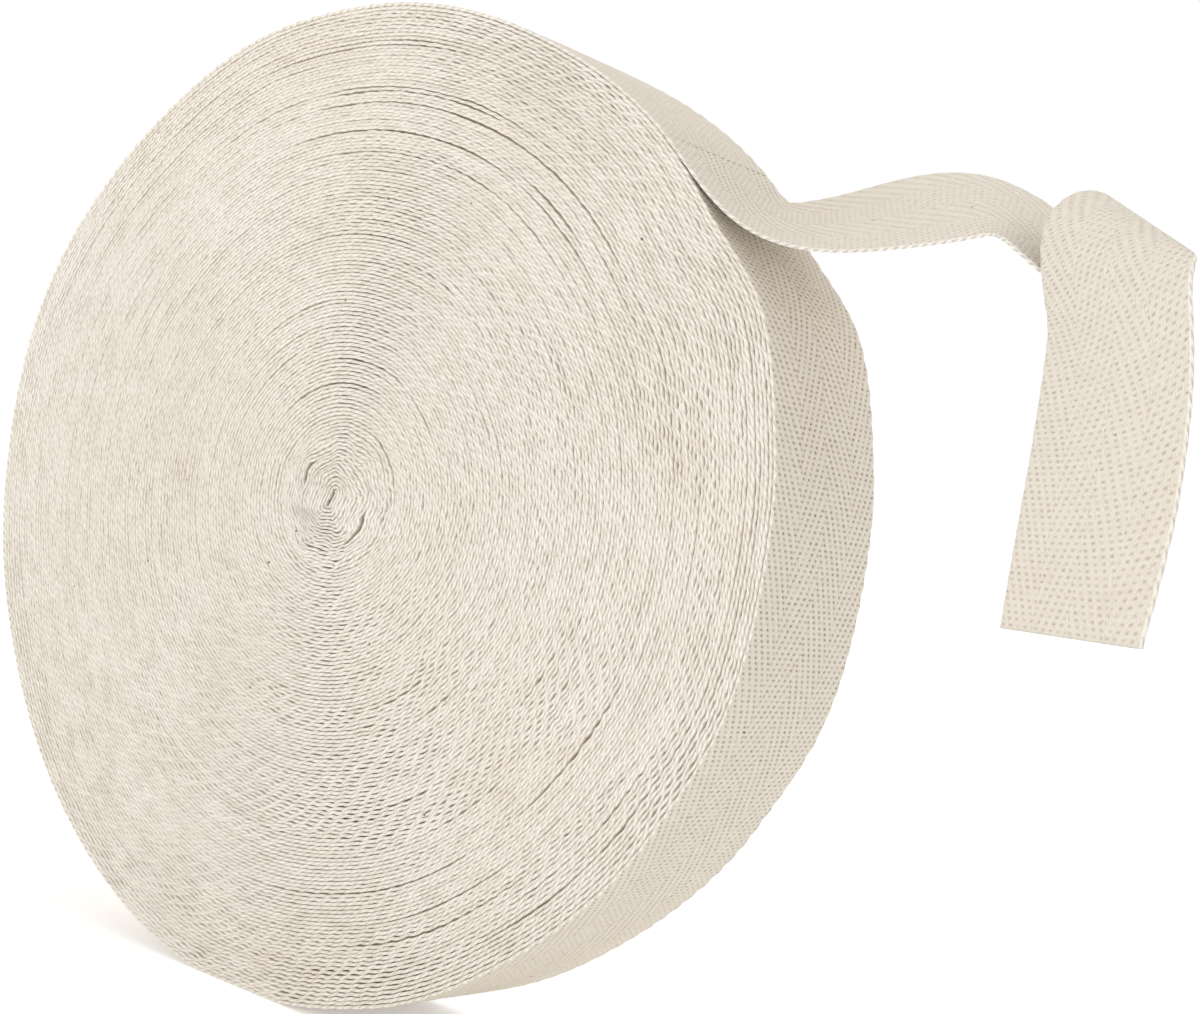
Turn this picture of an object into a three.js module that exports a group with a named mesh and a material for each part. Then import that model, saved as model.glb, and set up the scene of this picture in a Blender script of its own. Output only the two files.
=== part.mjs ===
// A roll of herringbone twill tape, wound on itself with no core, its loose end turned over and hanging.
// Millimetres, +Z up. The roll stands on its rim: its axis runs along Y, its front face looks to -Y,
// and the origin is on the small flat spot that it stands on, straight under the axis.
import * as THREE from 'three';

// Driving dimensions.
const tapeWidth = 25.4;
const rollRadius = 69.6;
const flatSpotDepth = 0.6;
const edgeRounding = 0.5;
const sheetThickness = 1.0;
const seatGap = 0.35;

// Where the outermost turn leaves the rim, in degrees clockwise from the top, seen from the front.
const leavingAngle = 39.2;

// The rim falls at a step there, to leave room for the loose end, and rises again under it, between two
// places in degrees past the step.
const stepRamp = 0.5;
const dentStart = 6;
const dentEnd = 26;

// How far the rim stands out from a true circle, at angles anticlockwise from +X seen from the front.
const outlineTable = [
  { angle: 0, out: 0.1 },
  { angle: 14, out: 0.5 },
  { angle: 28, out: 1.2 },
  { angle: 41, out: -0.6 },
  { angle: 50, out: -0.5 },
  { angle: 72, out: -1.2 },
  { angle: 99, out: -0.5 },
  { angle: 118, out: 0.3 },
  { angle: 134, out: 0.0 },
  { angle: 162, out: 0.9 },
  { angle: 189, out: -0.3 },
  { angle: 212, out: -0.9 },
  { angle: 265, out: 0.8 },
  { angle: 289, out: -0.3 },
  { angle: 312, out: -1.2 },
  { angle: 332, out: -0.7 },
  { angle: 348, out: 0.3 },
];

// How far each band of turns stands out of a flat face, from the centre outwards.
const centreOut = -0.5;
const faceTable = [
  { radius: 4, out: -0.1 },
  { radius: 9, out: 0.1 },
  { radius: 10.5, out: -0.3 },
  { radius: 12, out: 0.1 },
  { radius: 30, out: 0.0 },
  { radius: 45, out: 0.2 },
  { radius: 58, out: -0.1 },
];

// The loose end, from the rim to its cut end, at points along its middle: how much it bends there, in
// degrees per millimetre, positive as it was wound, how far the line that it bends about leans from
// straight across, in millimetres along for each one across, and how much it sways in its own plane.
const looseTable = [
  { along: 0.0, bend: 1.0, lean: 0.0, sway: 0.1 },
  { along: 11.0, bend: -4.8, lean: -0.5, sway: 0.3 },
  { along: 22.0, bend: -0.5, lean: -1.2, sway: 0.0 },
  { along: 33.0, bend: -0.7, lean: -1.4, sway: -0.2 },
  { along: 44.0, bend: 4.4, lean: -0.8, sway: -0.8 },
  { along: 55.0, bend: -0.1, lean: -0.3, sway: -0.2 },
  { along: 66.0, bend: -7.9, lean: -1.0, sway: -0.2 },
  { along: 77.0, bend: -3.1, lean: -1.4, sway: -0.2 },
  { along: 88.0, bend: -8.7, lean: -0.7, sway: -0.4 },
  { along: 99.0, bend: 1.3, lean: -0.5, sway: 0.9 },
  { along: 110.0, bend: 0.3, lean: -0.9, sway: 0.4 },
  { along: 121.0, bend: -0.5, lean: -0.7, sway: 0.6 },
  { along: 132.0, bend: -0.5, lean: 0.0, sway: 0.1 },
];
const looseLength = looseTable[looseTable.length - 1].along;

const rimSteps = 96;
const looseSteps = 96;

const radians = THREE.MathUtils.degToRad;
const lerp = THREE.MathUtils.lerp;

function clothMaterial() {
  return new THREE.MeshStandardMaterial({ color: 0xe3dac9, roughness: 0.95, metalness: 0 });
}

// The height of the rim above a true circle: soft steps between the rows, round and round.
function rimOut(angle) {
  const turned = THREE.MathUtils.euclideanModulo(angle, 360);
  const rows = [...outlineTable, { angle: 360, out: outlineTable[0].out }];
  const next = rows.findIndex((row) => row.angle > turned);
  const lower = rows[next - 1];
  const upper = rows[next];
  return lerp(lower.out, upper.out, THREE.MathUtils.smoothstep(turned, lower.angle, upper.angle));
}

// The radius of the rim, less by one turn of cloth in the dent under the loose end.
function rimRadius(angle) {
  const past = THREE.MathUtils.euclideanModulo(90 - leavingAngle - angle, 360);
  const filled = THREE.MathUtils.smoothstep(past, dentStart, dentEnd);
  const missing = past < stepRamp ? past / stepRamp : 1 - filled;
  return rollRadius + rimOut(angle) - (sheetThickness + seatGap) * missing;
}

// The angles of the rim's corners, anticlockwise once round from the step.
function rimAngles() {
  const leaving = 90 - leavingAngle;
  const angles = [leaving];
  for (let step = 1; step <= rimSteps; step += 1) {
    angles.push(leaving + ((360 - stepRamp) * step) / rimSteps);
  }
  return angles;
}

// The axis lies where the lowest corners of the rim reach under the ground by the flat spot's depth.
const lowest = Math.max(...rimAngles().map((angle) => -rimRadius(angle) * Math.sin(radians(angle))));
const axisHeight = lowest - flatSpotDepth;

function rollPoint(angle, radius, y) {
  const z = axisHeight + radius * Math.sin(radians(angle));
  return new THREE.Vector3(radius * Math.cos(radians(angle)), y, Math.max(z, 0));
}

// One closed mesh from rings of points, each joined to the next, with a single point closing each end.
function closedMesh(name, rings, firstPoint, lastPoint) {
  const around = rings[0].length;
  const last = 1 + rings.length * around;
  const at = (ring, place) => 1 + ring * around + (place % around);
  const index = [];
  for (let place = 0; place < around; place += 1) {
    index.push(0, at(0, place), at(0, place + 1));
    index.push(last, at(rings.length - 1, place + 1), at(rings.length - 1, place));
    for (let ring = 0; ring + 1 < rings.length; ring += 1) {
      index.push(at(ring, place), at(ring + 1, place), at(ring + 1, place + 1));
      index.push(at(ring, place), at(ring + 1, place + 1), at(ring, place + 1));
    }
  }
  const geometry = new THREE.BufferGeometry().setFromPoints([firstPoint, ...rings.flat(), lastPoint]);
  geometry.setIndex(index);
  geometry.computeVertexNormals();
  const mesh = new THREE.Mesh(geometry, clothMaterial());
  mesh.name = name;
  return mesh;
}

// The wound disc: the rings run from the middle of one face over the rim to the middle of the other.
function woundRoll() {
  const angles = rimAngles();
  const halfWidth = tapeWidth / 2;
  const side = (sign) => [
    ...faceTable.map((row) => angles.map((angle) => rollPoint(angle, row.radius, sign * (halfWidth + row.out)))),
    angles.map((angle) => rollPoint(angle, rimRadius(angle) - edgeRounding, sign * halfWidth)),
    angles.map((angle) => rollPoint(angle, rimRadius(angle), sign * (halfWidth - edgeRounding))),
  ];
  const middle = (sign) => new THREE.Vector3(0, sign * (halfWidth + centreOut), axisHeight);
  return closedMesh('wound_roll', [...side(-1), ...side(1).reverse()], middle(-1), middle(1));
}

// A column of the loose end's table at a distance along the tape.
function looseValue(column, along) {
  const reached = Math.min(along, looseLength);
  const next = Math.max(1, looseTable.findIndex((row) => row.along >= reached));
  const lower = looseTable[next - 1];
  const upper = looseTable[next];
  return lerp(lower[column], upper[column], (reached - lower.along) / (upper.along - lower.along));
}

// The loose end's sections. Each one has its place on the middle of the sheet, the line that the sheet
// is straight along there, from the front edge to the back one, and the way out of its outer side.
function looseSections() {
  const start = 90 - leavingAngle - stepRamp - THREE.MathUtils.radToDeg(seatGap / rollRadius);
  const place = rollPoint(start, rollRadius + rimOut(start) - sheetThickness / 2, 0);
  const along = new THREE.Vector3(Math.sin(radians(start)), 0, -Math.cos(radians(start)));
  const across = new THREE.Vector3(0, 1, 0);
  const stride = looseLength / looseSteps;
  const sections = [];
  for (let step = 0; step <= looseSteps; step += 1) {
    const out = along.clone().cross(across);
    const line = across.clone().addScaledVector(along, looseValue('lean', step * stride));
    sections.push({ place: place.clone(), line, out });
    const middle = (step + 0.5) * stride;
    const turn = across.clone().addScaledVector(along, looseValue('lean', middle));
    turn.multiplyScalar(looseValue('bend', middle)).addScaledVector(out, looseValue('sway', middle));
    const angle = radians(turn.length()) * stride;
    turn.normalize();
    along.applyAxisAngle(turn, angle / 2);
    place.addScaledVector(along, stride);
    along.applyAxisAngle(turn, angle / 2);
    across.applyAxisAngle(turn, angle);
  }
  return sections;
}

// The sheet: each ring goes round the tape's cross-section, with a point in the middle of each side.
function looseEnd() {
  const corners = [[-1, 1], [0, 1], [1, 1], [1, -1], [0, -1], [-1, -1]];
  const sections = looseSections();
  const rings = sections.map(({ place, line, out }) =>
    corners.map(([acrossShare, outShare]) =>
      place
        .clone()
        .addScaledVector(line, (acrossShare * tapeWidth) / 2)
        .addScaledVector(out, (outShare * sheetThickness) / 2)
    )
  );
  return closedMesh('loose_end', rings, sections[0].place, sections[looseSteps].place);
}

const group = new THREE.Group();
group.add(woundRoll(), looseEnd());

export default group;
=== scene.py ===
"""A roll of herringbone twill tape, wound on itself, with its loose end turned over and hanging.

The tape is one long strip. Its turns are a real spiral, from the rim to the slit at the centre.
Lengths are in millimetres until a mesh is made, and angles are in degrees, anticlockwise from +X as
seen from the front. A place on the tape has three numbers: its distance along, which is 0 at the rim's
step and grows inwards, its distance across, from the front edge at -12.7 to the back edge at 12.7, and
its place through the tape, which is 1 on the outer side and -1 on the inner side.
"""

import bpy
import numpy as np
from mathutils import Matrix, Vector


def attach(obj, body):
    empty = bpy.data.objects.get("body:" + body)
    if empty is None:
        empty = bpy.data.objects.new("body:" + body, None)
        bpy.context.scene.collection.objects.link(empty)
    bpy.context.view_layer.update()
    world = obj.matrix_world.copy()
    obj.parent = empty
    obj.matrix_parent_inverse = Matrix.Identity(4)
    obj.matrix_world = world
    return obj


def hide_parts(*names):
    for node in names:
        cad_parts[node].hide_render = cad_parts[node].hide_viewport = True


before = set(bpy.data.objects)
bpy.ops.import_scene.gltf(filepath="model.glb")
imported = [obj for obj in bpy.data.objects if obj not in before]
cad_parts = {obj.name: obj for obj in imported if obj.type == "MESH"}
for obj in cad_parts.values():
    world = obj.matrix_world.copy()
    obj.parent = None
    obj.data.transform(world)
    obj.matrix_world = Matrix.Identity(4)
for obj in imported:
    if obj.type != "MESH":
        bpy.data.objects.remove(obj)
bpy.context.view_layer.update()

MM = 0.001
CIRCLE = 360.0

# The same sizes as in the CAD model.
TAPE_WIDTH = 25.4
HALF_WIDTH = TAPE_WIDTH / 2
ROLL_RADIUS = 69.6
AXIS_HEIGHT = 69.71
LEAVING_ANGLE = 50.8
DENT_START = 6.0
DENT_END = 26.0
CAD_SHEET = 1.0
CAD_START_ANGLE = 50.01

# The cloth. Ends are the yarns that run along the tape, picks are those that run across it, and the
# herringbone changes direction after each stripe of ends.
TURN_PITCH = 0.535
TURN_THICKNESS = 0.47
SHEET_THICKNESS = 0.5
PICK = 0.69
ENDS = 72
END = TAPE_WIDTH / ENDS
STRIPE_ENDS = 18
REPEAT = 4
EDGE_WAVE = 4 * PICK
INNER_RADIUS = 0.55
LAST_TURN = (ROLL_RADIUS - INNER_RADIUS) / TURN_PITCH

# How far in from an edge its waves reach, and how high the edge's loops of yarn stand.
EDGE_REACH = 0.9
LOOP_HEIGHT = 0.03
LOOP_UNEVENNESS = 0.045

# How far the loose end's piece reaches back into the outer turn's, and how much lower it lies there.
OVERLAP = 0.6
OVERLAP_SINK = 0.012

# Added to the third number of a place on the inner turns, whose sides are hidden in the gaps.
WOUND = 10.0

# The turns give way to the small flat spot that the roll stands on only in the lower part of the roll,
# where the sine of the angle is under minus this.
BOTTOM_SINE = 0.2

# How far the rim stands out from a true circle, as in the CAD model: angle, out.
OUTLINE = np.array([
    (0, 0.1), (14, 0.5), (28, 1.2), (41, -0.6), (50, -0.5), (72, -1.2), (99, -0.5), (118, 0.3), (134, 0.0),
    (162, 0.9), (189, -0.3), (212, -0.9), (265, 0.8), (289, -0.3), (312, -1.2), (332, -0.7), (348, 0.3),
])

# How far the turns half way in wander from round: angle, out.
WANDER = np.array([
    (0, 0.1), (45, -1.0), (78, 0.2), (110, 1.0), (150, 0.5), (200, 0.0), (250, 0.1), (300, -0.1),
    (325, -0.4), (343, 0.2),
])

# How far each band of turns stands out of a flat face: radius, out.
FACE = np.array([
    (0, -0.5), (4, -0.1), (9, 0.1), (10.5, -0.3), (12, 0.1), (30, 0.0), (45, 0.2), (58, -0.1), (70, 0.0),
])

# The wider gaps between turns: radius, first angle, last angle, width.
GAPS = [
    (47.9, 38, 143, 0.16), (51.6, 30, 127, 0.18), (52.6, 45, 76, 0.26), (55.9, 20, 130, 0.20),
    (57.4, 66, 112, 0.22), (57.8, 42, 143, 0.14), (62.5, 105, 150, 0.16), (64.4, 77, 143, 0.18),
    (64.6, 82, 118, 0.18), (45.7, 218, 275, 0.10), (44.0, 275, 357, 0.14), (55.0, 251, 357, 0.16),
    (54.6, 318, 348, 0.14), (56.1, 305, 337, 0.14), (56.4, 257, 297, 0.12), (59.3, 288, 335, 0.18),
    (61.9, 280, 340, 0.18), (64.0, 308, 343, 0.20), (65.8, 307, 340, 0.18), (16.1, 55, 167, 0.12),
    (19.5, 35, 120, 0.14), (21.9, 123, 163, 0.14), (23.8, 305, 350, 0.22), (30.6, 295, 320, 0.18),
    (11.0, 12, 70, 0.12), (8.4, 230, 277, 0.14), (7.0, 136, 178, 0.55), (4.6, 17, 40, 0.12),
    (6.9, 296, 356, 0.50), (4.9, 263, 330, 0.10), (40.3, 150, 200, 0.10), (36.2, 60, 130, 0.12),
    (35.2, 290, 345, 0.12), (27.3, 95, 150, 0.12), (49.5, 296, 345, 0.14),
]

# How far from a gap the turns still give way to it, and inside which radius no gap is broken up.
GAP_REACH = 3.5
WHOLE_GAP_RADIUS = 12.0

# The loose end, as in the CAD model: along, bend, lean, sway.
LOOSE = np.array([
    (0.0, 1.0, 0.0, 0.1), (11.0, -4.8, -0.5, 0.3), (22.0, -0.5, -1.2, 0.0), (33.0, -0.7, -1.4, -0.2),
    (44.0, 4.4, -0.8, -0.8), (55.0, -0.1, -0.3, -0.2), (66.0, -7.9, -1.0, -0.2), (77.0, -3.1, -1.4, -0.2),
    (88.0, -8.7, -0.7, -0.4), (99.0, 1.3, -0.5, 0.9), (110.0, 0.3, -0.9, 0.4), (121.0, -0.5, -0.7, 0.6),
    (132.0, -0.5, 0.0, 0.1),
])
LOOSE_LENGTH = LOOSE[-1, 0]
LOOSE_STRIDE = 0.2

# The rim's step is this far before the place where the CAD model's loose end starts.
LEAD = np.radians(LEAVING_ANGLE - CAD_START_ANGLE) * ROLL_RADIUS

# The cotton's colours. The flat sides of the tape get a darker copy of its edges' colours: painted light and
# shade, not a difference in the cotton.
FLAT_CREAM = (0.700, 0.658, 0.592, 1.0)
FLAT_PALE = (0.750, 0.715, 0.655, 1.0)
EDGE_CREAM = (0.840, 0.790, 0.720, 1.0)
EDGE_PALE = (0.880, 0.845, 0.785, 1.0)
# Painted highlight on the twill's raised ridges.
RIDGE_HIGHLIGHT = (0.830, 0.800, 0.745, 1.0)
# The cotton's uneven tan tone, and also painted shade in the hollows and dips of the weave.
TAN_TONE_AND_SHADE = (0.700, 0.600, 0.470, 1.0)
# Painted shade in the weave's pits, the gaps between turns and between the edge's loops.
PAINTED_SHADE_BROWN = (0.300, 0.200, 0.120, 1.0)
SEED_BROWN = (0.100, 0.055, 0.030, 1.0)


def smoothstep(value, low, high):
    share = np.clip((value - low) / (high - low), 0.0, 1.0)
    return share * share * (3.0 - 2.0 * share)


def around(table, angle):
    """A table of angle and value, read with soft steps, round and round."""
    angles = np.append(table[:, 0], CIRCLE)
    values = np.append(table[:, 1], table[0, 1])
    turned = np.mod(angle, CIRCLE)
    row = np.searchsorted(angles, turned, side="right") - 1
    row = np.clip(row, 0, len(table) - 1)
    share = smoothstep(turned, angles[row], angles[row + 1])
    return values[row] + (values[row + 1] - values[row]) * share


def soft_noise(seed, rows, columns, row, column):
    """Smooth noise from -1 to 1 at places on a grid that goes round in its columns."""
    values = np.random.default_rng(seed).uniform(-1.0, 1.0, (rows + 2, columns))
    row = np.clip(row, 0.0, rows - 0.001)
    low_row = np.floor(row).astype(int)
    low_column = np.floor(column).astype(int)
    down = smoothstep(row - low_row, 0.0, 1.0)
    over = smoothstep(column - low_column, 0.0, 1.0)
    first = np.mod(low_column, columns)
    second = np.mod(low_column + 1, columns)
    near = values[low_row, first] * (1 - over) + values[low_row, second] * over
    far = values[low_row + 1, first] * (1 - over) + values[low_row + 1, second] * over
    return near * (1 - down) + far * down


def turn_noise(seed, turns, angle, turns_each, degrees_each):
    """Soft noise over the wound turns, with one random value in so many turns and so many degrees."""
    rows = int(LAST_TURN / turns_each) + 2
    columns = int(round(CIRCLE / degrees_each))
    return soft_noise(seed, rows, columns, turns / turns_each, angle / degrees_each)


def turns_at(along):
    """How many turns lie outside a place on the tape."""
    return (ROLL_RADIUS - np.sqrt(ROLL_RADIUS**2 - TURN_PITCH * along / np.pi)) / TURN_PITCH


def length_of(turns):
    """The length of the tape in so many of the outermost turns."""
    return np.pi * (2 * ROLL_RADIUS * turns - TURN_PITCH * turns**2)


def picks_in(turns):
    """The same length as a whole number of picks."""
    return int(round(length_of(turns) / PICK))


def gap_push(turns, angle, radius):
    """How far the wider gaps push a turn outwards or inwards."""
    push = np.zeros_like(turns)
    broken = 0.75 + 0.75 * turn_noise(17, turns, angle, 8.0, 6.0)
    for gap_radius, first, last, width in GAPS:
        middle = (first + last) / 2
        cut = middle + CIRCLE / 2
        turn = np.floor(turns + (LEAVING_ANGLE - cut) / CIRCLE)
        centre_turns = (ROLL_RADIUS - gap_radius) / TURN_PITCH
        gap_turn = np.floor(centre_turns + (LEAVING_ANGLE - cut) / CIRCLE)
        steps = turn - gap_turn
        outside = steps <= 0
        distance = np.where(outside, -steps, steps - 1) * TURN_PITCH
        fade = np.exp(-distance / min(GAP_REACH, gap_radius / 4))
        off_middle = np.abs(np.mod(angle - middle + CIRCLE / 2, CIRCLE) - CIRCLE / 2)
        half = (last - first) / 2
        window = 1.0 - smoothstep(off_middle, half * 0.35, half)
        push += np.where(outside, 0.5, -0.5) * width * fade * window
    return push * np.where(radius > WHOLE_GAP_RADIUS, broken, 1.0)


def wave_counts(turn_count):
    """How many waves the tape's edge makes in each turn: the same in a band of turns that lie in step."""
    fewest_turns = 3
    most_turns = 17
    radius_per_turn = 3.4
    rng = np.random.default_rng(5)
    counts = np.zeros(turn_count)
    turn = 0
    while turn < turn_count:
        radius = ROLL_RADIUS - TURN_PITCH * turn
        usual = max(fewest_turns, min(most_turns, radius / radius_per_turn))
        band = int(usual * rng.uniform(0.75, 1.25))
        middle = max(radius - TURN_PITCH * band / 2, 1.0)
        counts[turn:turn + band] = max(2, round(2 * np.pi * middle / EDGE_WAVE))
        turn += band
    return counts


def edge_waves(turns, angle, radius):
    """The zigzag of the tape's edge, in and out. Each turn's waves lie a little off its neighbour's."""
    step = 0.2
    height = 0.10
    strongest_angle = 320.0
    counts = wave_counts(int(turns.max()) + 2) - step
    before = np.concatenate([[0.0], np.cumsum(counts)])
    whole = np.floor(turns).astype(int)
    cycles = before[whole] + counts[whole] * (turns - whole)
    cycles += 0.55 * turn_noise(11, turns, angle, 5.0, 12.0)
    cycles += 0.22 * turn_noise(14, turns, angle, 1.0, 5.0)
    strength = 0.6 + 0.5 * turn_noise(12, turns, angle, 4.0, 20.0)
    strength += 0.35 * turn_noise(15, turns, angle, 1.0, 6.0)
    strength *= 0.85 + 0.35 * np.cos(np.radians(angle - strongest_angle))
    return height * strength * np.sin(2 * np.pi * cycles)


def wound_line(along):
    """The middle of the tape's thickness at places along the wound tape: radius, angle and turns."""
    unevenness = 0.035
    turns = turns_at(along)
    angle = LEAVING_ANGLE + CIRCLE * turns
    whole = np.floor(turns)
    dented = whole + smoothstep(turns - whole, 1.0 - DENT_END / CIRCLE, 1.0 - DENT_START / CIRCLE)
    counted = dented + (turns - dented) * smoothstep(turns, 0.0, 12.0)
    base = ROLL_RADIUS - TURN_THICKNESS / 2 - TURN_PITCH * counted
    radius = base + around(OUTLINE, angle) * smoothstep(base, 40.0, 69.0)
    radius += around(WANDER, angle) * smoothstep(base, 6.0, 30.0) * (1.0 - smoothstep(base, 44.0, 68.0))
    radius += gap_push(turns, angle, base)
    radius += unevenness * turn_noise(13, turns, angle, 1.0, 15.0) * smoothstep(turns, 0.5, 2.0)
    sine = np.sin(np.radians(angle))
    ground = AXIS_HEIGHT / np.maximum(-sine, BOTTOM_SINE) - TURN_THICKNESS / 2 - 0.5 * counted
    radius = np.where(sine < -BOTTOM_SINE, np.minimum(radius, ground), radius)
    return radius, angle, turns


def slit_place(radius, angle):
    """Points from polar ones: the turns near the centre go round a narrow upright slit, off the axis."""
    slit_height = 0.9
    least_radius = 0.26
    aside_x, aside_z = -1.1, -0.7
    slit = slit_height * (1.0 - smoothstep(radius, 1.0, 7.5))
    radius = np.maximum(radius - slit * 2 / np.pi, least_radius)
    sine = np.sin(np.radians(angle))
    aside = 1.0 - smoothstep(radius, 0.0, 10.0)
    x = radius * np.cos(np.radians(angle)) + aside_x * aside
    z = radius * sine + slit * np.tanh(2.5 * sine) + aside_z * aside
    crumple = 1.0 - smoothstep(radius, 5.0, 13.0)
    x_push = 0.32 * np.sin(1.15 * z + 0.9) + 0.10 * np.sin(2.6 * z - 0.7 * x + 2.0)
    z_push = 0.32 * np.sin(1.05 * x + 2.3) + 0.10 * np.sin(2.4 * x + 0.8 * z + 0.4)
    return x + crumple * x_push, z + crumple * z_push + AXIS_HEIGHT


def face_out(radius, angle, turns):
    """How far the tape's edge stands out of a flat face."""
    unevenness = 0.10
    out = np.interp(radius, FACE[:, 0], FACE[:, 1])
    out = out + unevenness * turn_noise(21, turns, angle, 1.0, 51.4)
    return out + unevenness * turn_noise(22, turns, angle, 11.0, 40.0)


def twill_phase(along, across):
    """Where a place is in the weave's repeat, in picks: the lines lean one way, then the other."""
    end = (across + HALF_WIDTH) / END
    stripe = np.floor(np.clip(end, 0, ENDS - 0.001) / STRIPE_ENDS)
    in_stripe = end - stripe * STRIPE_ENDS
    odd = np.mod(stripe, 2)
    folded = np.where(odd == 1, STRIPE_ENDS - in_stripe, in_stripe)
    return along / PICK + folded + 2.0 * odd


def twill_relief(along, across):
    """The weave's relief on the outer side: low ridges, and a pit between them at each pick."""
    ridge_height = 0.035
    pit_depth = 0.100
    wale = np.cos(twill_phase(along, across) * 2 * np.pi / REPEAT)
    between = 0.5 + 0.5 * np.cos(along / PICK * 2 * np.pi)
    pit = np.clip(-wale, 0.0, 1.0) ** 1.5 * between
    return ridge_height * wale - pit_depth * pit


def edge_share(across, reach):
    """1 at the tape's edges, falling to 0 inwards."""
    return np.exp(-(HALF_WIDTH - np.abs(across)) / reach)


def add_mesh(name, points, faces, place, uv, flat_faces=0):
    """A piece from points in millimetres, arrays of four-sided and three-sided faces, each point's place on
    the tape, and a flat map for each array's corners. The last flat_faces faces are the tape's cut ends."""
    mesh = bpy.data.meshes.new(name)
    mesh.vertices.add(len(points))
    mesh.vertices.foreach_set("co", (points * MM).astype(np.float32).ravel())
    corners = np.concatenate([array.ravel() for array in faces]).astype(np.int32)
    sizes = np.concatenate([np.full(len(array), array.shape[1]) for array in faces])
    starts = np.concatenate([[0], np.cumsum(sizes)[:-1]]).astype(np.int32)
    mesh.loops.add(len(corners))
    mesh.loops.foreach_set("vertex_index", corners)
    mesh.polygons.add(len(sizes))
    mesh.polygons.foreach_set("loop_start", starts)
    mesh.update(calc_edges=True)
    smooth = np.ones(len(sizes), dtype=bool)
    smooth[len(sizes) - flat_faces:] = False
    mesh.polygons.foreach_set("use_smooth", smooth)
    layer = mesh.attributes.new("tape_place", "FLOAT_VECTOR", "POINT")
    layer.data.foreach_set("vector", place.astype(np.float32).ravel())
    flat = mesh.uv_layers.new(name="OFBake")
    flat_corners = np.concatenate([array.reshape(-1, 2) for array in uv])
    flat.data.foreach_set("uv", flat_corners.astype(np.float32).ravel())
    piece = bpy.data.objects.new(name, mesh)
    bpy.context.scene.collection.objects.link(piece)
    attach(piece, "root")
    return piece


def strip_faces(rings, around_count):
    """Four-sided faces between rings of points, one array for each side of the strip."""
    base = np.arange(rings - 1)[:, None] * around_count
    sides = []
    for side in range(around_count):
        after = (side + 1) % around_count
        quad = np.array([side, after, after + around_count, side + around_count])
        sides.append(base + quad)
    return sides


def small_map(count, low, high, rows=64):
    """A flat map of many small cells in a band of the square, one for each four-sided face."""
    filled = 0.8
    per_row = int(np.ceil(count / rows))
    index = np.arange(count)
    left = (index % per_row) / per_row
    bottom = low + (high - low) * (index // per_row) / rows
    size = (filled / per_row, filled * (high - low) / rows)
    corner = np.array([(0, 0), (1, 0), (1, 1), (0, 1)]) * size
    return np.stack([left, bottom], 1)[:, None, :] + corner[None]


def wound_rings(steps):
    """Rings of six points for the inner turns at whole picks, three on each edge, and their places."""
    along = steps * PICK
    radius, angle, turns = wound_line(along)
    wave = edge_waves(turns, angle, radius) * smoothstep(radius, 1.0, 6.0)
    loop_count = picks_in(ROLL_RADIUS / TURN_PITCH) + 4
    loops = np.random.default_rng(41).uniform(-LOOP_UNEVENNESS, LOOP_UNEVENNESS, loop_count)
    knot = LOOP_HEIGHT * np.where(steps % 2 == 0, 1.0, -1.0) + loops[steps]
    half = TURN_THICKNESS / 2 * (1.0 - 0.08 * (1.0 - smoothstep(radius, 5.0, 11.0)))
    shoulder = 0.17 + 0.13 * turn_noise(16, turns, angle, 1.0, 2.0)
    points = []
    places = []
    for sign, angle_shift, edge_wave in ((-1, 0.0, wave), (1, 120.0, np.roll(wave, 2))):
        crest = HALF_WIDTH + face_out(radius, angle + angle_shift, turns) + knot
        for offset, depth in ((-half, shoulder), (0.04 * sign, 0.0), (half, shoulder)):
            x, z = slit_place(radius + edge_wave + offset, angle)
            points.append(np.stack([x, sign * (crest - depth), z], 1))
            place = np.broadcast_arrays(along, sign * (HALF_WIDTH - depth), offset / half + WOUND)
            places.append(np.stack(place, 1))
    order = (0, 1, 2, 5, 4, 3)
    ring = np.stack([points[k] for k in order], 1)
    ring_places = np.stack([places[k] for k in order], 1)
    return ring.reshape(-1, 3), ring_places.reshape(-1, 3)


def wound_maps(points, sides):
    """The flat maps of the inner turns' sides: the front and the back as they are seen, the rest in cells."""
    reach = 73.0
    scale = 0.46
    flat = (points[:, [0, 2]] - (0, AXIS_HEIGHT)) / (2 * reach) + 0.5
    front = flat * scale + (0.02, 0.5)
    back = flat * scale + (0.52, 0.5)
    count = len(sides[0])
    return [
        front[sides[0]],
        front[sides[1]],
        small_map(count, 0.02, 0.22),
        back[sides[3]],
        back[sides[4]],
        small_map(count, 0.25, 0.46),
    ]


def wound_turns(name, first_turn, last_turn):
    """Some of the inner turns, as one closed strip. Only its edges show, so its sides are plain."""
    steps = np.arange(picks_in(first_turn), picks_in(last_turn) + 1)
    points, places = wound_rings(steps)
    sides = strip_faces(len(steps), 6)
    near = np.array([[5, 2, 1, 0], [5, 4, 3, 2]])
    far = np.array([[0, 1, 2, 5], [2, 3, 4, 5]]) + (len(steps) - 1) * 6
    maps = wound_maps(points, sides)
    maps.append(small_map(2, 0.47, 0.475, 1))
    maps.append(small_map(2, 0.48, 0.485, 1))
    return add_mesh(name, points, [*sides, near, far], places, maps, len(near) + len(far))


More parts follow.
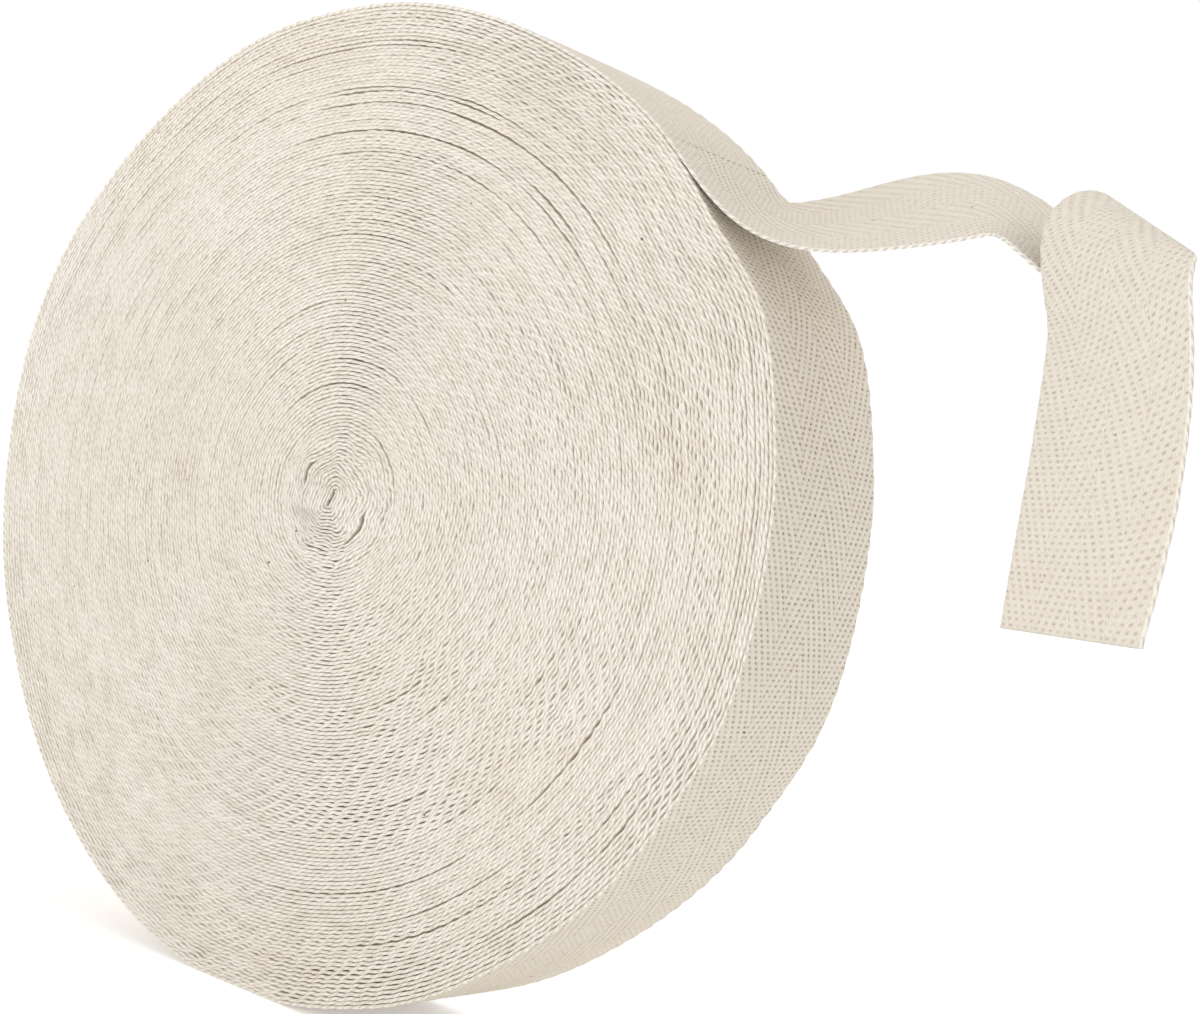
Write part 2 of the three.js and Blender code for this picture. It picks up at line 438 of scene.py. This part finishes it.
def outer_turn_rim(along, across, radius, angle, wave):
    """The outer side of the outermost turn: a grid of points with the weave in relief."""
    edge_drop = 0.10
    slack_height = 0.12
    s, w = np.meshgrid(along, across, indexing="ij")
    edge = edge_share(w, EDGE_REACH)
    relief = twill_relief(s, w) - edge_drop * edge_share(w, 0.15)
    grid_radius = radius[:, None] + TURN_THICKNESS / 2 + relief + wave[:, None] * edge
    slack = slack_height * soft_noise(31, 8, 40, (w + HALF_WIDTH) / 3.6, s / 11.0)
    grid_radius = grid_radius + slack * (1 - edge) * smoothstep(s, 0.0, 12.0)
    ground = AXIS_HEIGHT / np.maximum(-np.sin(np.radians(angle)), BOTTOM_SINE)
    grid_radius = np.minimum(grid_radius, ground[:, None])
    turn = np.radians(angle)[:, None]
    return np.stack([grid_radius * np.cos(turn), w, grid_radius * np.sin(turn) + AXIS_HEIGHT], -1)


def outer_turn_rings(along):
    """The rings of the outermost turn: its outer side between two points on each edge."""
    inner_depth = 0.22
    radius, angle, turns = wound_line(along)
    wave = edge_waves(turns, angle, radius) * 0.45 * smoothstep(along, 0.0, 8.0)
    across = np.linspace(-HALF_WIDTH + 0.1, HALF_WIDTH - 0.1, ENDS + 1)
    outer = outer_turn_rim(along, across, radius, angle, wave)
    knot = LOOP_HEIGHT * np.cos(2 * np.pi * along / (2 * PICK))
    crest = HALF_WIDTH + face_out(radius, angle, turns) * 0.5 + knot
    cos = np.cos(np.radians(angle))
    sin = np.sin(np.radians(angle))
    edges = []
    for sign in (-1, 1):
        for offset, depth in ((0.0, 0.0), (-TURN_THICKNESS / 2, inner_depth)):
            edge_radius = radius + wave + offset
            edge = [edge_radius * cos, sign * (crest - depth), edge_radius * sin + AXIS_HEIGHT]
            edges.append(np.stack(edge, 1)[:, None])
    front_crest, front_inner, back_crest, back_inner = edges
    return np.concatenate([front_inner, front_crest, outer, back_crest, back_inner], 1)


def outer_turn():
    """The outermost turn, whose outer side is the rim that shows, with the weave in relief."""
    rows = int(round(length_of(1.0) / (PICK / 2)))
    along = np.linspace(0.0, picks_in(1.0) * PICK, rows + 1)
    ring = outer_turn_rings(along)
    size = ring.shape[1]
    place = np.zeros_like(ring)
    place[..., 0] = along[:, None]
    place[..., 1] = np.clip(ring[..., 1], -HALF_WIDTH, HALF_WIDTH)
    place[..., 2] = 1.0
    place[:, [0, -1], 2] = -1.0
    place[:, [1, -2], 2] = 0.0
    quads = np.stack(strip_faces(rows + 1, size), 1)[..., ::-1].reshape(-1, 4)
    near = np.array([[0, k, k + 1] for k in range(1, size - 1)])
    far = near[:, ::-1] + rows * size
    folds = 4
    per_fold = int(np.ceil(rows / folds))
    row, column = np.indices((rows, size))
    left = (row % per_fold) / per_fold
    bottom = 0.02 + (row // per_fold) * 0.24 + 0.22 * column / size
    corner = np.array([(1, 0), (1, 1), (0, 1), (0, 0)]) * (1.0 / per_fold, 0.22 / size)
    maps = [
        np.stack([left, bottom], -1)[:, :, None, :] + corner,
        np.stack([near * 0.001, near * 0 + 0.985], -1),
        np.stack([near * 0.001, near * 0 + 0.99], -1),
    ]
    points = ring.reshape(-1, 3)
    places = place.reshape(-1, 3)
    return add_mesh("outer_turn", points, [quads, near, far], places, maps, len(near) + len(far))


def turned(vector, axis, angle):
    """A vector turned about an axis of length 1."""
    cos, sin = np.cos(angle), np.sin(angle)
    return vector * cos + np.cross(axis, vector) * sin + axis * np.dot(axis, vector) * (1 - cos)


def loose_sections(stride):
    """The middle line of the loose end from the rim: its distances, places, ways along and across, and
    how far the line that it bends about leans. Before the CAD model's start it bends as the rim does."""
    start = np.radians(LEAVING_ANGLE) + OVERLAP / ROLL_RADIUS
    radius = ROLL_RADIUS + around(OUTLINE, np.array([LEAVING_ANGLE]))[0] - CAD_SHEET / 2
    place = np.array([radius * np.cos(start), 0.0, AXIS_HEIGHT + radius * np.sin(start)])
    along = np.array([np.sin(start), 0.0, -np.cos(start)])
    across = np.array([0.0, 1.0, 0.0])
    rows = []
    distance = -LEAD - OVERLAP
    while distance < LOOSE_LENGTH + stride / 2:
        lean = np.interp(distance, LOOSE[:, 0], LOOSE[:, 2])
        rows.append((distance, place, along, across, lean))
        middle = distance + stride / 2
        bend, lean, sway = (np.interp(middle, LOOSE[:, 0], LOOSE[:, k]) for k in (1, 2, 3))
        if middle < 0:
            bend, lean, sway = np.degrees(1 / ROLL_RADIUS), 0.0, 0.0
        out = np.cross(along, across)
        turn = (across + lean * along) * bend + out * sway
        speed = np.linalg.norm(turn)
        axis = turn / speed
        angle = np.radians(speed) * stride
        along = turned(along, axis, angle / 2)
        place = place + along * stride
        along = turned(along, axis, angle / 2)
        across = turned(across, axis, angle)
        distance += stride
    return [np.array([row[k] for row in rows]) for k in range(5)]


def loose_middle(along, across):
    """The middle surface of the loose end, and the way out of its outer side, at a grid of places."""
    distances, places, alongs, acrosses, leans = loose_sections(LOOSE_STRIDE)
    outs = np.cross(alongs, acrosses)
    lines = acrosses + leans[:, None] * alongs
    middle = np.zeros((len(along), len(across), 3))
    out = np.zeros_like(middle)
    for column, w in enumerate(across):
        ruled = np.interp(along, distances + leans * w, distances)
        for axis in range(3):
            middle[:, column, axis] = np.interp(ruled, distances, places[:, axis] + w * lines[:, axis])
            out[:, column, axis] = np.interp(ruled, distances, outs[:, axis])
    out /= np.linalg.norm(out, axis=-1, keepdims=True)
    return middle, out


def loose_sides(along, across):
    """Both sides of the loose end, each with the weave in relief, which is lower away from the roll."""
    wave_height = 0.025
    knot_height = 0.015
    middle, out = loose_middle(along, across)
    s, w = np.meshgrid(-(along + LEAD), across, indexing="ij")
    thin = 1.0 - 0.45 * edge_share(w, 0.12)
    half = TURN_THICKNESS / 2 + (SHEET_THICKNESS - TURN_THICKNESS) / 2 * smoothstep(-s, 0.0, 10.0)
    wave = wave_height * np.sin(2 * np.pi * s / EDGE_WAVE)
    wave = wave * edge_share(w, EDGE_REACH) * smoothstep(-s, 0.0, 6.0)
    at_edge = np.sign(w) * (np.abs(w) > HALF_WIDTH - 0.01)
    knot = knot_height * np.cos(2 * np.pi * s / (2 * PICK)) * at_edge
    sink = OVERLAP_SINK * (1.0 - smoothstep(-s, -0.1, 0.8))
    centre = middle + out * (CAD_SHEET / 2 - half + wave - sink)[..., None]
    centre += knot[..., None] * np.array([0.0, 1.0, 0.0])
    slack = 1.0 - 0.75 * smoothstep(-s, 1.0, 24.0)
    relief = twill_relief(s, w) * slack
    back_relief = twill_relief(s + 2 * PICK, w) * slack
    top = centre + out * (half * thin + relief)[..., None]
    bottom = centre - out * (half * thin + back_relief)[..., None]
    return top, bottom


def loose_tape():
    """The loose end, as one closed sheet whose flat map is the flat tape."""
    rows = int(round((LOOSE_LENGTH + LEAD + OVERLAP) / (PICK / 2)))
    along = np.linspace(-LEAD - OVERLAP, LOOSE_LENGTH, rows + 1)
    across = np.linspace(-HALF_WIDTH, HALF_WIDTH, ENDS + 1)
    top, bottom = loose_sides(along, across)
    ring = np.concatenate([top, bottom[:, ::-1]], 1)
    size = ring.shape[1]
    place = np.zeros_like(ring)
    place[..., 0] = -(along + LEAD)[:, None]
    place[..., 1] = np.concatenate([across, across[::-1]])[None]
    place[:, :ENDS + 1, 2] = 1.0
    place[:, ENDS + 1:, 2] = -1.0
    quads = np.stack(strip_faces(rows + 1, size), 1).reshape(-1, 4)
    near = np.array([[k, k + 1, size - 2 - k, size - 1 - k] for k in range(ENDS)])
    far = near[:, ::-1] + rows * size
    row, column = np.indices((rows, size))
    corner = np.array([(0, 0), (0, 1), (1, 1), (1, 0)]) * (0.98 / rows, 0.96 / size)
    maps = [
        np.stack([0.01 + 0.98 * row / rows, 0.96 * column / size], -1)[:, :, None, :] + corner,
        small_map(ENDS, 0.97, 0.975, 1),
        small_map(ENDS, 0.98, 0.985, 1),
    ]
    points = ring.reshape(-1, 3)
    places = place.reshape(-1, 3)
    return add_mesh("loose_tape", points, [quads, near, far], places, maps, len(near) + len(far))


def turns_body():
    """The body of the wound turns under their edges, pressed together, which closes the gaps between them."""
    steps = 240
    under_rim = 1.6
    rim_depth = 11.7
    profile = [(0.4, 4.0), (10.0, 4.0), (11.0, 11.4), (30.0, 11.8), (50.0, 11.9)]
    angle = np.linspace(0.0, CIRCLE, steps, endpoint=False)
    rim = ROLL_RADIUS + around(OUTLINE, angle) - under_rim
    front = [(np.full(steps, radius), -depth) for radius, depth in profile]
    front.append((rim, -rim_depth))
    rings = front + [(radius, -y) for radius, y in front[::-1]]
    points = []
    for radius, y in rings:
        x = radius * np.cos(np.radians(angle))
        z = radius * np.sin(np.radians(angle)) + AXIS_HEIGHT
        points.append(np.stack([x, np.full(steps, y), z], 1))
    points = np.concatenate(points)
    count = len(rings)
    index = np.arange(count * steps).reshape(count, steps)
    following = np.roll(index, -1, axis=1)
    quads = np.stack([index[:-1], index[1:], following[1:], following[:-1]], -1).reshape(-1, 4)
    closing = np.stack([index[-1], index[0], following[0], following[-1]], -1)
    quads = np.concatenate([quads, closing])[:, ::-1]
    place = np.zeros_like(points)
    place[:, 0] = np.tile(angle, count) * 0.6
    place[:, 2] = WOUND
    return add_mesh("turns_body", points, [quads], place, [small_map(len(quads), 0.02, 0.98)])


class Nodes:
    """Short ways to make the nodes of a material or a world."""

    def __init__(self, owner):
        self.nodes = owner.node_tree.nodes
        self.links = owner.node_tree.links

    def put(self, socket, value):
        if isinstance(value, bpy.types.NodeSocket):
            self.links.new(value, socket)
        else:
            socket.default_value = value

    def math(self, operation, *values):
        node = self.nodes.new("ShaderNodeMath")
        node.operation = operation
        for socket, value in zip(node.inputs, values):
            self.put(socket, value)
        return node.outputs[0]

    def add(self, first, second):
        return self.math("ADD", first, second)

    def less(self, first, second):
        return self.math("SUBTRACT", first, second)

    def times(self, first, second):
        return self.math("MULTIPLY", first, second)

    def power(self, base, exponent):
        return self.math("POWER", base, exponent)

    def arches(self, value):
        """A row of arches, each one as wide as 1, from 0 up to 1 and down again."""
        return self.math("ABSOLUTE", self.math("SINE", self.times(value, np.pi)))

    def noise(self, vector, scale, detail=2.0, roughness=0.5):
        node = self.nodes.new("ShaderNodeTexNoise")
        self.put(node.inputs["Vector"], vector)
        node.inputs["Scale"].default_value = scale
        node.inputs["Detail"].default_value = detail
        node.inputs["Roughness"].default_value = roughness
        return node.outputs["Fac"]

    def combine(self, x, y, z):
        node = self.nodes.new("ShaderNodeCombineXYZ")
        for socket, value in zip(node.inputs, (x, y, z)):
            self.put(socket, value)
        return node.outputs[0]

    def split(self, vector):
        node = self.nodes.new("ShaderNodeSeparateXYZ")
        self.links.new(vector, node.inputs[0])
        return node.outputs

    def mix(self, share, first, second):
        node = self.nodes.new("ShaderNodeMix")
        node.data_type = "RGBA"
        self.put(node.inputs["Factor"], share)
        self.put(node.inputs["A"], first)
        self.put(node.inputs["B"], second)
        return node.outputs["Result"]

    def remap(self, value, low, high, to_low, to_high):
        node = self.nodes.new("ShaderNodeMapRange")
        for socket, given in zip(node.inputs, (value, low, high, to_low, to_high)):
            self.put(socket, given)
        return node.outputs[0]


class Cloth:
    """The places on the tape that the cotton's nodes read, and the noise of its yarns.

    pick and end count the yarns across and along the tape, through tells its sides and edges apart, and
    spot is the point in the object's own space, in metres."""

    def __init__(self, n):
        attribute = n.nodes.new("ShaderNodeAttribute")
        attribute.attribute_name = "tape_place"
        self.along, self.across, self.through = n.split(attribute.outputs["Vector"])
        self.spot = n.nodes.new("ShaderNodeTexCoord").outputs["Object"]
        self.pick = n.math("DIVIDE", self.along, PICK)
        self.end = n.math("DIVIDE", n.add(self.across, HALF_WIDTH), END)
        self.n = n

    def grid_noise(self, x, x_scale, y, y_scale, slice_at, detail, roughness):
        """Noise that is stretched along the yarns."""
        n = self.n
        vector = n.combine(n.times(x, x_scale), n.times(y, y_scale), slice_at)
        return n.noise(vector, 1.0, detail, roughness)


def twill_lines(n, cloth):
    """The twill's diagonal lines, from -1 between them to 1 on them, the other way up on the inner side."""
    folded = n.math("PINGPONG", cloth.end, float(STRIPE_ENDS))
    stripe = n.math("FLOOR", n.math("DIVIDE", cloth.end, float(STRIPE_ENDS)))
    broken = n.times(n.math("MODULO", stripe, 2.0), 2.0)
    jitter = cloth.grid_noise(cloth.pick, 0.45, cloth.end, 0.22, 11.0, 1.0, 0.5)
    phase = n.add(n.add(cloth.pick, n.less(folded, 0.4)), n.math("MULTIPLY_ADD", jitter, 0.8, broken))
    wale = n.math("COSINE", n.times(phase, 2 * np.pi / REPEAT))
    inner_side = n.math("LESS_THAN", cloth.through, -0.5)
    return n.times(wale, n.less(1.0, n.times(inner_side, 2.0))), inner_side


def yarn_crowns(n, cloth, wale):
    """How high the yarn on top is: those along the tape lie on the twill's lines, the others between."""
    warp_up = n.math("MULTIPLY_ADD", wale, 0.5, 0.5)
    warp = n.times(warp_up, n.arches(cloth.end))
    weft = n.times(n.less(1.0, warp_up), n.arches(cloth.pick))
    return n.add(warp, weft)


def slackness(n, cloth):
    """1 on the roll, falling to a half along the loose end, where the weave is less open."""
    return n.remap(cloth.along, -24.0, -1.0, 0.50, 1.0)


def weave_pits(n, cloth, wale, inner_side, slack):
    """The pits between the twill's lines, uneven, and deeper and darker towards the rim's right side. Their
    darkness in the colour is painted shade.
    """
    valley = n.power(
        n.math("MAXIMUM", n.times(wale, -1.0), 0.0),
        n.math("MULTIPLY_ADD", inner_side, -0.6, 1.3),
    )
    between = n.power(n.less(1.0, n.arches(cloth.pick)), 1.1)
    uneven = cloth.grid_noise(cloth.pick, 0.8, cloth.across, 0.35, 7.0, 2.0, 0.6)
    pit = n.times(n.times(valley, between), n.remap(uneven, 0.32, 0.62, 0.25, 1.0))
    right = n.remap(n.split(cloth.spot)[0], 0.035, 0.064, 0.40, 1.0)
    return n.times(pit, n.times(slack, right))


def tape_edges(n, cloth):
    """Whether a place is on the tape's edge, how deep it is in a gap between turns, which sets the painted
    shade in the gap, and the edge's loops.
    """
    wound = n.math("GREATER_THAN", cloth.through, WOUND / 2)
    depth = n.less(HALF_WIDTH, n.math("ABSOLUTE", cloth.across))
    on_edge = n.math("MAXIMUM", n.remap(depth, 0.35, 0.15, 0.0, 1.0), wound)
    painted_gap_shade = n.times(n.remap(depth, 0.10, 0.70, 0.0, 1.0), wound)
    loop = n.arches(n.add(n.math("DIVIDE", cloth.along, 2 * PICK), n.times(cloth.through, 0.3)))
    return on_edge, painted_gap_shade, loop


def plain_cotton(n, cloth, on_edge, fibre):
    """The cotton's colour, uneven from yarn to yarn and from patch to patch, with a lighter copy on the edges
    and a darker one on the flat sides, which is painted light and shade.
    """
    # Painted light and shade: the edges get the lighter copy of the cream, the flat sides the darker one.
    cream = n.mix(on_edge, FLAT_CREAM, EDGE_CREAM)
    pale = n.mix(on_edge, FLAT_PALE, EDGE_PALE)
    yarn = cloth.grid_noise(cloth.along, 0.05, cloth.end, 0.5, 0.0, 3.0, 0.6)
    slub = cloth.grid_noise(cloth.pick, 0.5, cloth.across, 0.08, 3.0, 2.0, 0.6)
    patch = n.noise(cloth.spot, 45.0, 3.0, 0.6)
    colour = n.mix(n.remap(n.add(yarn, slub), 0.75, 1.25, 0.0, 1.0), cream, pale)
    colour = n.mix(n.remap(patch, 0.40, 0.75, 0.0, 0.22), colour, TAN_TONE_AND_SHADE)
    return n.mix(n.remap(fibre, 0.30, 0.75, 0.0, 0.28), colour, TAN_TONE_AND_SHADE)


def seed_specks(n, cloth, colour):
    """A few specks of cotton seed."""
    cells = n.nodes.new("ShaderNodeTexVoronoi")
    n.put(cells.inputs["Vector"], cloth.spot)
    cells.inputs["Scale"].default_value = 160.0
    seed = n.remap(cells.outputs["Distance"], 0.022, 0.040, 1.0, 0.0)
    return n.mix(n.times(seed, 0.85), colour, SEED_BROWN)


def cotton():
    """Unbleached cotton, woven in herringbone twill: yarns, pits, uneven yarn and a few specks of seed, with
    painted shade in the pits, the hollows, the dips, the gaps between turns and between the edge's loops, and
    a painted highlight on the twill's ridges.
    """
    material = bpy.data.materials.new("cotton_twill")
    material.use_nodes = True
    n = Nodes(material)
    shader = n.nodes["Principled BSDF"]
    shader.inputs["Roughness"].default_value = 0.92
    shader.inputs["Specular IOR Level"].default_value = 0.15
    shader.inputs["Sheen Weight"].default_value = 0.06
    shader.inputs["Sheen Roughness"].default_value = 0.5

    cloth = Cloth(n)
    slack = slackness(n, cloth)
    wale, inner_side = twill_lines(n, cloth)
    crown = yarn_crowns(n, cloth, wale)
    pit = weave_pits(n, cloth, wale, inner_side, slack)
    on_edge, painted_gap_shade, loop = tape_edges(n, cloth)
    on_flat = n.less(1.0, on_edge)
    crossing = cloth.grid_noise(cloth.pick, 1.3, cloth.end, 0.8, 17.0, 2.0, 0.7)
    fibre = n.noise(cloth.spot, 2600.0, 2.0, 0.7)

    # Painted highlight: the twill's ridges are lighter where the bump stands up.
    painted_ridge_highlight = n.power(n.math("MAXIMUM", wale, 0.0), 2.0)
    # Partly the cotton's uneven tone and partly painted shade: it darkens where the crossing noise also sinks
    # the bump.
    speckle_and_dip_shade = n.times(n.remap(crossing, 0.35, 0.68, 0.0, 0.50), n.remap(slack, 0.0, 1.0, 0.45, 1.0))
    # Painted shade: darker in the hollows between the yarns' crowns.
    painted_hollow_shade = n.times(n.less(1.0, crown), 0.42)
    # Painted shade: darker in the dips between the edge's loops of yarn.
    painted_shade_between_loops = n.power(n.less(1.0, loop), 2.0)
    colour = plain_cotton(n, cloth, on_edge, fibre)
    colour = n.mix(n.times(n.times(painted_ridge_highlight, 0.45), on_flat), colour, RIDGE_HIGHLIGHT)
    colour = n.mix(n.times(speckle_and_dip_shade, on_flat), colour, TAN_TONE_AND_SHADE)
    colour = n.mix(n.times(painted_hollow_shade, on_flat), colour, TAN_TONE_AND_SHADE)
    # Painted shade: the weave's pits are darkened towards brown.
    colour = n.mix(n.times(n.times(pit, 0.95), on_flat), colour, PAINTED_SHADE_BROWN)
    colour = n.mix(n.times(n.times(painted_shade_between_loops, 0.22), on_edge), colour, PAINTED_SHADE_BROWN)
    # Painted shade: the edges turn brown the deeper they lie in the gaps between turns.
    colour = n.mix(n.times(painted_gap_shade, 0.70), colour, PAINTED_SHADE_BROWN)
    colour = seed_specks(n, cloth, colour)
    n.links.new(colour, shader.inputs["Base Color"])

    weave_height = n.less(n.add(n.times(crown, 0.6), n.times(wale, 0.2)), n.times(pit, 1.2))
    height = n.add(n.times(weave_height, on_flat), n.times(loop, on_edge))
    height = n.add(height, n.times(fibre, 0.6))
    height = n.add(height, n.times(crossing, -1.2))
    bump = n.nodes.new("ShaderNodeBump")
    bump.inputs["Strength"].default_value = 1.0
    bump.inputs["Distance"].default_value = 0.00013
    n.links.new(height, bump.inputs["Height"])
    n.links.new(bump.outputs[0], shader.inputs["Normal"])
    return material


def build_tape():
    material = cotton()
    pieces = [
        turns_body(),
        outer_turn(),
        wound_turns("wound_turns_outer", 1.0, 25.0),
        wound_turns("wound_turns_middle", 25.0, 57.0),
        wound_turns("wound_turns_inner", 57.0, LAST_TURN),
    ]
    for piece in pieces:
        piece.data.materials.append(material)
    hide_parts("wound_roll")
    loose = loose_tape()
    loose.data.materials.append(material)
    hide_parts("loose_end")


def floor_material():
    """White paper, lit a little from within so that the floor stays white up to the horizon."""
    material = bpy.data.materials.new("floor_paper")
    material.use_nodes = True
    n = Nodes(material)
    shader = n.nodes["Principled BSDF"]
    shader.inputs["Roughness"].default_value = 1.0
    shader.inputs["Specular IOR Level"].default_value = 0.0
    coordinates = n.nodes.new("ShaderNodeTexCoord")
    tooth = n.noise(coordinates.outputs["Object"], 30.0)
    colour = n.mix(tooth, (0.93, 0.93, 0.925, 1.0), (0.95, 0.95, 0.945, 1.0))
    n.links.new(colour, shader.inputs["Base Color"])
    shader.inputs["Emission Color"].default_value = (1.0, 1.0, 1.0, 1.0)
    shader.inputs["Emission Strength"].default_value = 0.22
    return material


def build_floor():
    half = 6.0
    corners = [(-half, -half, 0), (half, -half, 0), (half, half, 0), (-half, half, 0)]
    mesh = bpy.data.meshes.new("floor")
    mesh.from_pydata(corners, [], [(0, 1, 2, 3)])
    floor = bpy.data.objects.new("floor", mesh)
    floor.data.materials.append(floor_material())
    bpy.context.scene.collection.objects.link(floor)


def add_light(name, place, size, power):
    """A soft square light that looks at the roll's middle. Its place and size are in metres."""
    data = bpy.data.lights.new(name, "AREA")
    data.shape = "SQUARE"
    data.size = size
    data.energy = power
    light = bpy.data.objects.new(name, data)
    bpy.context.scene.collection.objects.link(light)
    light.location = place
    aim = Vector((0.0, 0.0, AXIS_HEIGHT * MM)) - light.location
    light.rotation_euler = aim.to_track_quat("-Z", "Y").to_euler()


def build_world():
    """An even white studio, a little dimmer in front of the roll than behind it."""
    world = bpy.data.worlds.new("studio")
    world.use_nodes = True
    n = Nodes(world)
    coordinates = n.nodes.new("ShaderNodeTexCoord")
    facing = n.nodes.new("ShaderNodeVectorMath")
    facing.operation = "DOT_PRODUCT"
    facing.inputs[1].default_value = Vector((0.0, 0.8, 0.6))
    n.links.new(coordinates.outputs["Generated"], facing.inputs[0])
    strength = n.remap(facing.outputs["Value"], -0.5, 0.35, 0.54, 1.02)
    background = n.nodes["Background"]
    background.inputs["Color"].default_value = (1.0, 1.0, 1.0, 1.0)
    n.links.new(strength, background.inputs["Strength"])
    bpy.context.scene.world = world


def build_lights():
    add_light("key", (0.15, -1.18, 0.42), 0.6, 4.7)
    add_light("top", (0.0, 0.1, 1.3), 0.9, 1.6)


def build_camera():
    """The photograph's camera: almost level, a little above the axis, and rolled."""
    data = bpy.data.cameras.new("camera")
    data.sensor_fit = "HORIZONTAL"
    data.sensor_width = 36.0
    data.lens = 64.74
    data.clip_start = 0.01
    camera = bpy.data.objects.new("camera", data)
    bpy.context.scene.collection.objects.link(camera)
    place = Vector((201.3, -234.7, AXIS_HEIGHT + 13.1)) * MM
    forward = Vector((-0.577, 0.816, -0.026)).normalized()
    up = Vector((-0.167, -0.087, 0.982))
    right = forward.cross(up).normalized()
    up = right.cross(forward)
    rotation = Matrix((right, up, -forward)).transposed()
    camera.matrix_world = Matrix.Translation(place) @ rotation.to_4x4()
    bpy.context.scene.camera = camera


build_tape()
build_floor()
build_world()
build_lights()
build_camera()
bpy.context.scene.view_settings.view_transform = "Standard"
